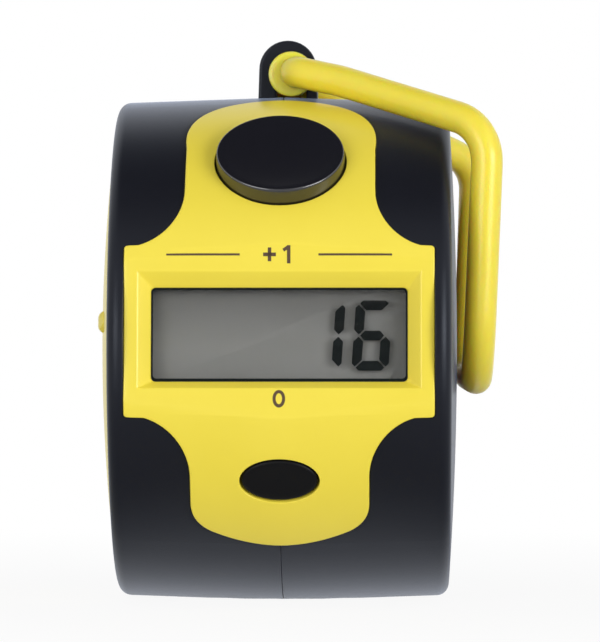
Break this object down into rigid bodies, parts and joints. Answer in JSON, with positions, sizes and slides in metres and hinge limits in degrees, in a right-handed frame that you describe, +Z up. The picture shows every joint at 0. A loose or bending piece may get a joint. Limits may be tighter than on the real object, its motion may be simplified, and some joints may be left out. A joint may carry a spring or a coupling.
{
  "type": "tally counter",
  "caption": "Pocket electronic tally counter: black drum case, wrapped yellow face plate with a flat display, oval count and reset buttons and a swinging yellow finger loop",
  "frame": {"origin": "centre of the small flat that the drum stands on, under the seam", "axes": "+X to the right along the drum's axis, the display faces -Y, +Z up"},
  "size_m": [0.0459, 0.0574, 0.0641],
  "materials": {
    "case_black": "satin, finely textured",
    "plate_yellow": "satin gloss",
    "button_black": "gloss",
    "clear_window": "clear gloss",
    "cell_glass": "clear",
    "segment_dark": "flat",
    "reflector_grey": "pearly",
    "frame_dark": "satin",
    "strip_rubber": "matt",
    "board_green": "satin",
    "blob_black": "gloss",
    "bright_metal": "bright",
    "chip_tan": "satin",
    "screw_steel": "plain",
    "plunger_tan": "satin",
    "contact_brass": "bright",
    "lead_red": "satin",
    "lead_grey": "satin"
  },
  "bodies": {
    "case": {"left_shell": "case_black", "right_shell": "case_black", "face_plate": "plate_yellow", "window_lens": "clear_window", "lcd_front_glass": "cell_glass", "lcd_digits": "segment_dark", "lcd_rear_glass": "cell_glass", "lcd_reflector": "reflector_grey", "lcd_frame": "frame_dark", "zebra_strip": "strip_rubber", "circuit_board": "board_green", "chip_blob": "blob_black", "crystal": "bright_metal", "capacitors": "chip_tan", "board_screws": "screw_steel", "count_switch_body": "frame_dark", "count_board": "board_green", "reset_switch_body": "frame_dark", "reset_board": "board_green", "battery_cell": "bright_metal", "contact_positive": "contact_brass", "contact_negative": "contact_brass", "battery_leads": "lead_red", "switch_leads": "lead_grey", "case_screws": "screw_steel"},
    "count_key": {"count_button": "button_black", "count_switch_plunger": "plunger_tan"},
    "reset_key": {"reset_button": "button_black", "reset_switch_plunger": "plunger_tan"},
    "loop": {"finger_loop": "plate_yellow"},
    "cover": {"battery_cover": "plate_yellow"}
  },
  "joints": [
    {"name": "count_press", "type": "slide", "parent": "case", "child": "count_key", "axis": [0, 0.6947, -0.7193], "range_m": [0, 0.0012], "stiffness_N_per_m": 1200, "springref_m": -0.0006},
    {"name": "reset_press", "type": "slide", "parent": "case", "child": "reset_key", "axis": [0, 0.8695, 0.4939], "range_m": [0, 0.0006], "stiffness_N_per_m": 2000, "springref_m": -0.0004},
    {"name": "loop_swing", "type": "hinge", "parent": "case", "child": "loop", "pos_m": [0.00085, 0, 0.06018], "axis": [0, -1, 0], "range_deg": [0, 190]},
    {"name": "cover_turn", "type": "hinge", "parent": "case", "child": "cover", "pos_m": [-0.0165, 0, 0.02865], "axis": [-1, 0, 0], "range_deg": [0, 45]}
  ]
}
